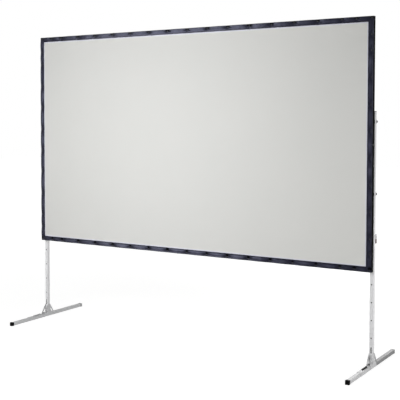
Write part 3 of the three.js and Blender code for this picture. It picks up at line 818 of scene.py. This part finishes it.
# The black heads by the frame's corners: y, inset from the top and bottom, seat and size
CORNER_HEAD_Y, CORNER_HEAD_BELOW_TOP, CORNER_HEAD_ABOVE_BOTTOM = -0.05, 0.027, 0.03
CORNER_HEAD_SEAT, CORNER_HEAD_SIZE = 0.0006, 2.4


def rivets(name, body, places, facing, size=1.0, finish="hardware_steel"):
    """Domed rivet heads at points, facing one way."""
    profile = [(radius * size, depth * size) for radius, depth in RIVET_PROFILE]
    turn = Vector((0, -1, 0)).rotation_difference(Vector(facing)).to_matrix()
    dome, faces = lathe(profile, (0, 0, 0), RIVET_SIDES)
    turned = [turn @ Vector(v) for v in dome]
    heads = [([tuple(v + Vector(place)) for v in turned], faces) for place in places]
    piece = add_mesh(name, *joined(heads), finish)
    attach(piece, body)


def rail_rivets():
    """Two rivets through each leaf at the ends of every length of the top and bottom rails."""
    for rail, z in (("top", screen_top - TUBE / 2), ("bottom", screen_bottom + TUBE / 2)):
        for i in range(1, 5):
            low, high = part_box(f"{rail}_rail_{i}")
            starts = ((low.x, 1, OUTER_LEAF_FACE), (high.x, -1, INNER_LEAF_FACE))
            places = [
                (x + way * reach, frame_back + depth, z)
                for x, way, depth in starts
                for reach in RAIL_RIVET_REACHES
            ]
            rivets(f"rivets_{rail}_rail_{i}", f"{rail}_{i}", places, (0, 1, 0))


def leg_rivets():
    """Small heads on each leg's outer side, as the photo shows on the right one."""
    for side, way in LEG_SIDES:
        low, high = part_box(f"leg_upper_{side}")
        x = high.x if way > 0 else low.x
        places = [(x, LEG_HEAD_Y, z) for z in LEG_HEAD_ZS]
        rivets(f"rivets_leg_upper_{side}", f"{side}_side", places, (way, 0, 0))
        places = [(x, *LOWER_HEAD_PLACE)]
        body = f"lower_leg_{side}"
        rivets(f"rivets_leg_lower_{side}", body, places, (way, 0, 0), LOWER_HEAD_SIZE)


def corner_heads():
    """Black heads on the frame's outer sides by the corners, as the photo shows on the right."""
    zs = (screen_top - CORNER_HEAD_BELOW_TOP, screen_bottom + CORNER_HEAD_ABOVE_BOTTOM)
    for side, way in LEG_SIDES:
        x = way * (half_width - CORNER_HEAD_SEAT)
        places = [(x, CORNER_HEAD_Y, z) for z in zs]
        name, body, facing = f"corner_heads_{side}", f"{side}_side", (way, 0, 0)
        rivets(name, body, places, facing, CORNER_HEAD_SIZE, "snap_black")


rail_rivets()
leg_rivets()
corner_heads()

# The floor: its half size, how far it lies below the feet, and the glow that makes it look
# white, at a near and a far distance from the middle
FLOOR_REACH, FLOOR_DROP = 30, 0.0006
GLOW_NEAR, GLOW_FAR = 2.5, 8
GLOW_NEAR_STRENGTH, GLOW_FAR_STRENGTH = 0.86, 1
SKY_COLOUR, SKY_STRENGTH = (1, 1, 0.95, 1), 0.18


def seen_directly(tree):
    """1 for camera, glossy and transmission rays."""
    path = tree.nodes.new("ShaderNodeLightPath")
    total = path.outputs["Is Camera Ray"]
    for name in ("Is Glossy Ray", "Is Transmission Ray"):
        either = tree.nodes.new("ShaderNodeMath")
        either.operation = "MAXIMUM"
        tree.links.new(total, either.inputs[0])
        tree.links.new(path.outputs[name], either.inputs[1])
        total = either.outputs[0]
    return total


def add_node(tree, kind, *links, **values):
    """A node with some inputs set by name and others linked by number, and its first output."""
    made = tree.nodes.new(kind)
    for key, value in values.items():
        made.inputs[key].default_value = value
    for number, socket in links:
        tree.links.new(socket, made.inputs[number])
    return made.outputs[0]


def floor_glow(tree):
    """How much the floor glows, which grows with the distance from its middle."""
    place = tree.nodes.new("ShaderNodeTexCoord").outputs["Object"]
    length = tree.nodes.new("ShaderNodeVectorMath")
    length.operation = "LENGTH"
    tree.links.new(place, length.inputs[0])
    glow = tree.nodes.new("ShaderNodeMapRange")
    tree.links.new(length.outputs["Value"], glow.inputs[0])
    numbers = (GLOW_NEAR, GLOW_FAR, GLOW_NEAR_STRENGTH, GLOW_FAR_STRENGTH)
    for socket, number in zip(glow.inputs[1:5], numbers):
        socket.default_value = number
    return glow.outputs[0]


def floor_material():
    """A pale floor that looks white to the camera and still shows the object's shadow."""
    material = bpy.data.materials.new("stage_floor")
    material.use_nodes = True
    tree = material.node_tree
    tree.nodes.clear()
    plain = add_node(tree, "ShaderNodeBsdfDiffuse", Color=(0.8, 0.8, 0.8, 1))
    shadowed = add_node(tree, "ShaderNodeBsdfDiffuse", Color=(0.3, 0.3, 0.3, 1))
    white = add_node(tree, "ShaderNodeEmission", (1, floor_glow(tree)))
    shown = add_node(tree, "ShaderNodeAddShader", (0, shadowed), (1, white))
    links = (0, seen_directly(tree)), (1, plain), (2, shown)
    choice = add_node(tree, "ShaderNodeMixShader", *links)
    output = tree.nodes.new("ShaderNodeOutputMaterial")
    tree.links.new(choice, output.inputs[0])
    return material


def make_floor():
    signs = ((-1, -1), (1, -1), (1, 1), (-1, 1))
    corners = [(x * FLOOR_REACH, y * FLOOR_REACH, -FLOOR_DROP) for x, y in signs]
    mesh = bpy.data.meshes.new("stage_floor")
    mesh.from_pydata(corners, [], [(0, 1, 2, 3)])
    mesh.materials.append(floor_material())
    floor = bpy.data.objects.new("stage_floor", mesh)
    bpy.context.collection.objects.link(floor)


def make_world():
    """A soft light all round, which looks white to the camera."""
    world = bpy.context.scene.world or bpy.data.worlds.new("world")
    bpy.context.scene.world = world
    world.use_nodes = True
    tree = world.node_tree
    tree.nodes.clear()
    soft = add_node(tree, "ShaderNodeBackground", Color=SKY_COLOUR, Strength=SKY_STRENGTH)
    white = add_node(tree, "ShaderNodeBackground", Color=(1, 1, 1, 1))
    links = (0, seen_directly(tree)), (1, soft), (2, white)
    choice = add_node(tree, "ShaderNodeMixShader", *links)
    output = tree.nodes.new("ShaderNodeOutputWorld")
    tree.links.new(choice, output.inputs[0])


def lamp(name, place, target, size, watts, colour=(1, 1, 1), gloss=True, diffuse=True):
    """A rectangular lamp aimed at a point. gloss and diffuse say what kind of light it gives."""
    data = bpy.data.lights.new(name, "AREA")
    data.shape = "RECTANGLE"
    data.size, data.size_y = size
    data.energy = watts
    data.color = colour
    item = bpy.data.objects.new(name, data)
    item.location = place
    item.rotation_euler = (Vector(target) - Vector(place)).to_track_quat("-Z", "Y").to_euler()
    item.visible_camera = False
    item.visible_diffuse = diffuse
    item.visible_glossy = gloss
    bpy.context.collection.objects.link(item)


make_floor()
make_world()
lamp("key", (-0.45, -3.1, 2.25), (-0.45, 0, 2.05), (2.4, 1.6), 79, (0.98, 0.99, 1), gloss=False)
lamp("left", (-4.2, -2.4, 1.4), (-1.8, 0, 1.6), (1.2, 1.2), 13, gloss=False)
lamp("fill", (4.8, -1.6, 0.9), (1.8, 0, 0.7), (1.2, 1.2), 40)
lamp("side", (3.9, 0.45, 1.1), (1.8, 0, 1.05), (0.6, 1.6), 13, gloss=False)
lamp("sheen", (-3.35, -5.0, 2.1), (-0.4, 0, 1.9), (2.8, 4.0), 300, diffuse=False)
lamp("overhead", (0, -1.5, 6.0), (0, 0, 0), (5.0, 3.0), 5)
lamp("rear", (0.5, 5.5, 2.1), (0, 0, 1.8), (3.0, 2.0), 105)

bpy.context.scene.view_settings.view_transform = "Standard"
